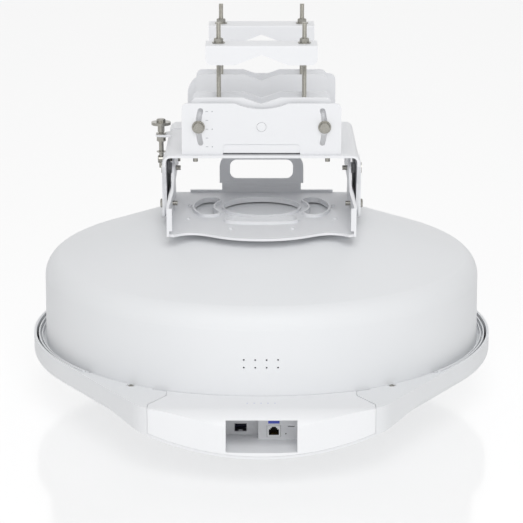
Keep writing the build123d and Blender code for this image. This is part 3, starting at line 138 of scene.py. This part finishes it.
# Sockets: the modular jack is white nylon with a black lining in its well, and the connector in the
# optical cage is moulded PBT. The reset button and its switch are black nylon.
# White nylon: a bright clean frame. Navy PBT and black nylon: dark wells that take almost no light.
jack_nylon = moulded("jack_nylon", "#F7F8F8", "#F0F1F2", 0.5 * MM, 0.4, 0.01 * MM)
coat("rj45_jack", jack_nylon)
navy_pbt = moulded("navy_pbt", "#20263F", "#181D33", 0.6 * MM, 0.42, 0.01 * MM)
coat("sfp_connector", navy_pbt)
black_nylon = moulded("black_nylon", "#121214", "#0B0B0D", 0.5 * MM, 0.4, 0.01 * MM)
coat("reset_button", black_nylon)
coat("reset_switch", black_nylon)
coat("jack_insert", black_nylon)


# Plated metal: cut and turned steel fasteners under zinc, a folded cage under nickel, stamped contacts
# under gold and a spun aluminium reflector. Each has a slightly uneven shine.
GLOSS_DIP = 0.06
GLOSS_RISE = 0.1
CLOUD_STRENGTH = 0.12
CLOUD_DEPTH = 0.02 * MM


def plated(name, bright, dull, grain, rough):
    """Plated or brushed metal with a streaky shine."""
    made, tree, out = blank(name)
    place = node(tree, "ShaderNodeTexCoord").outputs["Object"]
    cloud = node(tree, "ShaderNodeTexNoise", {"Scale": 1 / grain, "Detail": 4.0}, {"Vector": place})
    tone = node(tree, "ShaderNodeMix", {"data_type": "RGBA", 6: linear(bright), 7: linear(dull)},
                {0: cloud.outputs["Fac"]})
    gloss = node(tree, "ShaderNodeMapRange", {"To Min": rough - GLOSS_DIP, "To Max": rough + GLOSS_RISE},
                 {"Value": cloud.outputs["Fac"]})
    bump = node(tree, "ShaderNodeBump", {"Strength": CLOUD_STRENGTH, "Distance": CLOUD_DEPTH},
                {"Height": cloud.outputs["Fac"]})
    metal = node(tree, "ShaderNodeBsdfPrincipled", {"Metallic": 1.0},
                 {"Base Color": tone.outputs[2], "Roughness": gloss.outputs[0], "Normal": bump.outputs[0]})
    tree.links.new(metal.outputs[0], out.inputs["Surface"])
    return made


# Zinc: dull warm grey. Nickel: cooler and cleaner. Gold: yellow. Spun aluminium: pale satin.
zinc = plated("zinc_plate", "#B8B6AF", "#96948D", 2.5 * MM, 0.27)
nickel = plated("nickel_plate", "#B9B9BC", "#98989C", 3 * MM, 0.3)
gold = plated("gold_plate", "#D9B35A", "#C29A42", 1 * MM, 0.25)
aluminium = plated("spun_aluminium", "#D5D7DA", "#C2C5C9", 4 * MM, 0.38)
coat("sfp_cage", nickel)
coat("sfp_latch", nickel)
coat("rj45_contacts", gold)
for name in ("reflector", "feed_waveguide", "subreflector", "heat_spreader"):
    coat(name, aluminium)
ZINC_NODES = ("housing_screws", "pivot_bolts", "pivot_nuts", "lock_bolts",
              "lock_nuts", "bracket_bolts", "bracket_nuts", "tray_rivets", "studs", "stud_nuts",
              "turn_bolts", "turn_washers", "turn_nuts", "jaw_nuts_near", "jaw_nuts_far",
              "jaw_washers_near", "jaw_washers_far", "adjust_screw", "screw_washer", "screw_nut",
              "swivel_nut", "stop_washer")
for name in ZINC_NODES:
    coat(name, zinc)


# Threaded rods: M6 rod cut from plated steel bar. Each is one helical thread, rolled at a 1 mm pitch,
# that passes through its saddle, spacer nuts and jaw.
ROD_RADIUS = 3.0 * MM
THREAD_PITCH = 1.0 * MM
THREAD_DEPTH = 0.4 * MM
THREAD_SIDES = 20


def add_thread(bm, x, y, z0, z1, radius):
    """Adds a closed bar whose surface is one helical thread."""
    turns = int((z1 - z0) / THREAD_PITCH) + 2
    rings = []
    for k in range(2 * turns + 3):
        reach = radius if k % 2 else radius - THREAD_DEPTH
        ring = []
        for j in range(THREAD_SIDES):
            angle = 2 * math.pi * j / THREAD_SIDES
            z = z0 + (k / 2 - 1.5 + j / THREAD_SIDES) * THREAD_PITCH
            place = (x + reach * math.cos(angle), y + reach * math.sin(angle), min(max(z, z0), z1))
            ring.append(bm.verts.new(place))
        rings.append(ring)
    for k in range(2 * turns):
        for j in range(THREAD_SIDES):
            low, high = rings[k], rings[k + 1]
            if j + 1 < THREAD_SIDES:
                bm.faces.new((low[j], low[j + 1], high[j + 1], high[j]))
            else:
                bm.faces.new((low[j], rings[k + 2][0], rings[k + 3][0], high[j]))
    bm.faces.new(list(reversed(rings[0])))
    bm.faces.new(rings[2 * turns])


def mesh_piece(name, bm, material):
    """Turns finished mesh data into an object with its material."""
    bmesh.ops.remove_doubles(bm, verts=bm.verts, dist=0.001 * MM)
    bmesh.ops.dissolve_degenerate(bm, dist=0.001 * MM, edges=bm.edges)
    bmesh.ops.delete(bm, geom=[v for v in bm.verts if not v.link_faces], context="VERTS")
    bmesh.ops.recalc_face_normals(bm, faces=bm.faces)
    data = bpy.data.meshes.new(name)
    bm.to_mesh(data)
    bm.free()
    data.materials.append(material)
    made = bpy.data.objects.new(name, data)
    bpy.context.scene.collection.objects.link(made)
    return made


(rod_x0, rod_y0, rod_z0), (rod_x1, rod_y1, rod_z1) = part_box("studs")
bm = bmesh.new()
for x in (rod_x0 + ROD_RADIUS, rod_x1 - ROD_RADIUS):
    for y in (rod_y0 + ROD_RADIUS, rod_y1 - ROD_RADIUS):
        add_thread(bm, x, y, rod_z0, rod_z1, ROD_RADIUS)
# Thread zinc: painted paler than the other zinc, a painted lift of light that offsets the shade in the
# thread's roots so that it doesn't hide the crests.
zinc_painted_lighter = plated("thread_zinc_painted_light", "#DAD8D1", "#BAB8B0", 2 * MM, 0.38)
threaded_rods = mesh_piece("threaded_rods", bm, zinc_painted_lighter)
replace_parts(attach(threaded_rods, "saddle"), "studs")


# Boards, label, light pipes, lens, membrane and seal: small bought-in parts behind and in the housings.
# Solder mask is dark green, the label and pipes are blue, and the lens is a waxy white. The vent cloth
# and the seal are matt and nearly black.
mask_green = moulded("solder_mask", "#1E4A34", "#183F2C", 1.5 * MM, 0.35, 0.01 * MM)
coat("port_board", mask_green)
coat("radio_board", mask_green)
label_film = moulded("label_film", "#5C6BD0", "#5260C6", 1 * MM, 0.4, 0.005 * MM)
coat("port_label", label_film)
pipe_clear = moulded("pipe_polycarbonate", "#8E96D2", "#828BCB", 1 * MM, 0.3, 0.005 * MM)
coat("led_light_pipes", pipe_clear)
lens_ptfe = moulded("lens_ptfe", "#EDEDE8", "#E6E6E0", 1 * MM, 0.35, 0.01 * MM)
coat("feed_lens", lens_ptfe)
membrane = moulded("vent_cloth", "#0E0E10", "#08080A", 0.4 * MM, 0.9, 0.03 * MM)
coat("vent_membrane", membrane)
seal = moulded("seal_rubber", "#2A2A2C", "#222224", 0.8 * MM, 0.8, 0.02 * MM)
coat("rim_gasket", seal)


# Bracket: pressed and folded steel sheet, bolted together, under white polyester powder.
# Powder coat: a clean white with a faint orange peel that softens its highlights.
powder = moulded("white_powder_coat", "#EBECEE", "#E5E6E9", 2.2 * MM, 0.42, 0.03 * MM)
for name in ("tilt_plate", "yoke", "side_plates", "azimuth_bracket", "azimuth_pins", "saddle_near",
             "saddle_far", "saddle_tray", "jaw_near", "jaw_far", "plate_screws", "pivot_spacers"):
    coat(name, powder)


# Angle marks: ticks and dots of grey ink, printed on the bracket beside the left azimuth slot. They show
# how far the bracket has been swung, and carry no figures.
MARK_HALF_LENGTH = 1.6 * MM
MARK_HALF_HEIGHT = 0.35 * MM
MARK_DOT = 0.8 * MM
MARK_DEPTH = 0.12 * MM
MARK_X = -67.0 * MM
MARK_DOT_X = -60.5 * MM
MARK_ANGLES = (-15, -7.5, 0, 7.5, 15)
DOTTED_ANGLES = (-15, 0, 15)
MARK_SPREAD = 22.0 * MM


def add_plate(bm, outline, front, back):
    """Adds a thin closed plate from an X-Z outline."""
    near = [bm.verts.new((x, front, z)) for x, z in outline]
    far = [bm.verts.new((x, back, z)) for x, z in outline]
    bm.faces.new(near)
    bm.faces.new(list(reversed(far)))
    for k in range(len(outline)):
        after = (k + 1) % len(outline)
        bm.faces.new((near[after], near[k], far[k], far[after]))


(turn_x0, turn_y0, turn_z0), (turn_x1, turn_y1, turn_z1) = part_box("azimuth_bracket")
slot_middle = (turn_z0 + turn_z1) / 2
bm = bmesh.new()
for angle in MARK_ANGLES:
    z = slot_middle + MARK_SPREAD * math.sin(math.radians(angle)) / math.sin(math.radians(MARK_ANGLES[-1]))
    left, right = MARK_X - MARK_HALF_LENGTH, MARK_X + MARK_HALF_LENGTH
    low, high = z - MARK_HALF_HEIGHT, z + MARK_HALF_HEIGHT
    tick = [(left, low), (right, low), (right, high), (left, high)]
    add_plate(bm, tick, turn_y0 - MARK_DEPTH, turn_y0 + MARK_DEPTH)
    if angle in DOTTED_ANGLES:
        dot = [(MARK_DOT_X + MARK_DOT * math.cos(math.radians(a)), z + MARK_DOT * math.sin(math.radians(a)))
               for a in range(0, 360, 30)]
        add_plate(bm, dot, turn_y0 - MARK_DEPTH, turn_y0 + MARK_DEPTH)
# Ink: a flat pale grey that just shows against the powder.
mark_ink = moulded("mark_ink", "#B4B6BA", "#A9ABAF", 0.5 * MM, 0.6, 0.005 * MM)
angle_marks = mesh_piece("angle_marks", bm, mark_ink)
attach(angle_marks, "yoke_frame")


# Studio: a glowing white floor with a faint polish, in a white room that is dim below and brightest
# behind the bridge, and one wide soft lamp in front.
FLOOR_HALF = 12.0
FLOOR_GLOW = 0.585
FLOOR_PAINT = 0.45
FLOOR_POLISH = 0.22
FLOOR_ROUGHNESS = 0.12
floor_mesh = bpy.data.meshes.new("floor")
floor_mesh.from_pydata([(-FLOOR_HALF, -FLOOR_HALF, 0), (FLOOR_HALF, -FLOOR_HALF, 0),
                        (FLOOR_HALF, FLOOR_HALF, 0), (-FLOOR_HALF, FLOOR_HALF, 0)], [], [(0, 1, 2, 3)])
floor = bpy.data.objects.new("floor", floor_mesh)
bpy.context.scene.collection.objects.link(floor)
floor_paint, tree, out = blank("studio_floor")
glow = node(tree, "ShaderNodeEmission", {"Strength": FLOOR_GLOW})
matt = node(tree, "ShaderNodeBsdfDiffuse", {"Color": (FLOOR_PAINT, FLOOR_PAINT, FLOOR_PAINT, 1)})
lit = node(tree, "ShaderNodeAddShader", {}, {0: glow.outputs[0], 1: matt.outputs[0]})
polish = node(tree, "ShaderNodeBsdfGlossy", {"Color": (1, 1, 1, 1), "Roughness": FLOOR_ROUGHNESS})
floor_skin = node(tree, "ShaderNodeMixShader", {0: FLOOR_POLISH}, {1: lit.outputs[0], 2: polish.outputs[0]})
tree.links.new(floor_skin.outputs[0], out.inputs["Surface"])
floor_mesh.materials.append(floor_paint)

SKY_BASE = 0.12
SKY_TOP = 0.36
SKY_FRONT = 0.66
SKY_BACK = 0.85
world = bpy.data.worlds.new("studio")
world.use_nodes = True
sky = world.node_tree
sky.nodes.clear()
aim = node(sky, "ShaderNodeSeparateXYZ", {}, {0: node(sky, "ShaderNodeTexCoord").outputs["Generated"]})
level = None
for axis, strength in (("Z", SKY_TOP), ("Y", -SKY_FRONT), ("Y", SKY_BACK)):
    share = node(sky, "ShaderNodeMath", {"operation": "MULTIPLY", 1: strength}, {0: aim.outputs[axis]})
    share = node(sky, "ShaderNodeMath", {"operation": "MAXIMUM", 1: 0.0}, {0: share.outputs[0]})
    total = node(sky, "ShaderNodeMath", {"operation": "ADD", 0: SKY_BASE, 1: 0.0}, {1: share.outputs[0]})
    if level:
        sky.links.new(level.outputs[0], total.inputs[0])
    level = total
room = node(sky, "ShaderNodeBackground", {"Color": (1, 1, 1, 1)}, {"Strength": level.outputs[0]})
paper = node(sky, "ShaderNodeBackground", {"Color": (1, 1, 1, 1), "Strength": 1.0})
seen = node(sky, "ShaderNodeLightPath").outputs["Is Camera Ray"]
either = node(sky, "ShaderNodeMixShader", {}, {0: seen, 1: room.outputs[0], 2: paper.outputs[0]})
node(sky, "ShaderNodeOutputWorld", {}, {"Surface": either.outputs[0]})
bpy.context.scene.world = world

LAMP_PLACE = (0.2, -2.9, 2.6)
LAMP_AIM = (0.0, 0.0, 0.2)
LAMP_SIZE = 1.6
LAMP_POWER = 47.0
lamp_data = bpy.data.lights.new("front_lamp", "AREA")
lamp_data.size = LAMP_SIZE
lamp_data.energy = LAMP_POWER
lamp = bpy.data.objects.new("front_lamp", lamp_data)
lamp.location = LAMP_PLACE
lamp.rotation_euler = (Vector(LAMP_PLACE) - Vector(LAMP_AIM)).to_track_quat("Z", "Y").to_euler()
bpy.context.scene.collection.objects.link(lamp)
bpy.context.scene.view_settings.view_transform = "Standard"


# Camera: level with the top of the bracket, looking slightly down along +Y.
CAMERA_DISTANCE = 2.588
CAMERA_HEIGHT = 0.873
CAMERA_PITCH = 15.0
FOCAL_WIDTHS = 3.971
SENSOR = 36.0
camera_data = bpy.data.cameras.new("camera")
camera_data.sensor_width = SENSOR
camera_data.lens = SENSOR * FOCAL_WIDTHS
camera_data.clip_end = 100
camera = bpy.data.objects.new("camera", camera_data)
camera.location = (0, -CAMERA_DISTANCE, CAMERA_HEIGHT)
camera.rotation_euler = (math.radians(90 - CAMERA_PITCH), 0, 0)
bpy.context.scene.collection.objects.link(camera)
bpy.context.scene.camera = camera
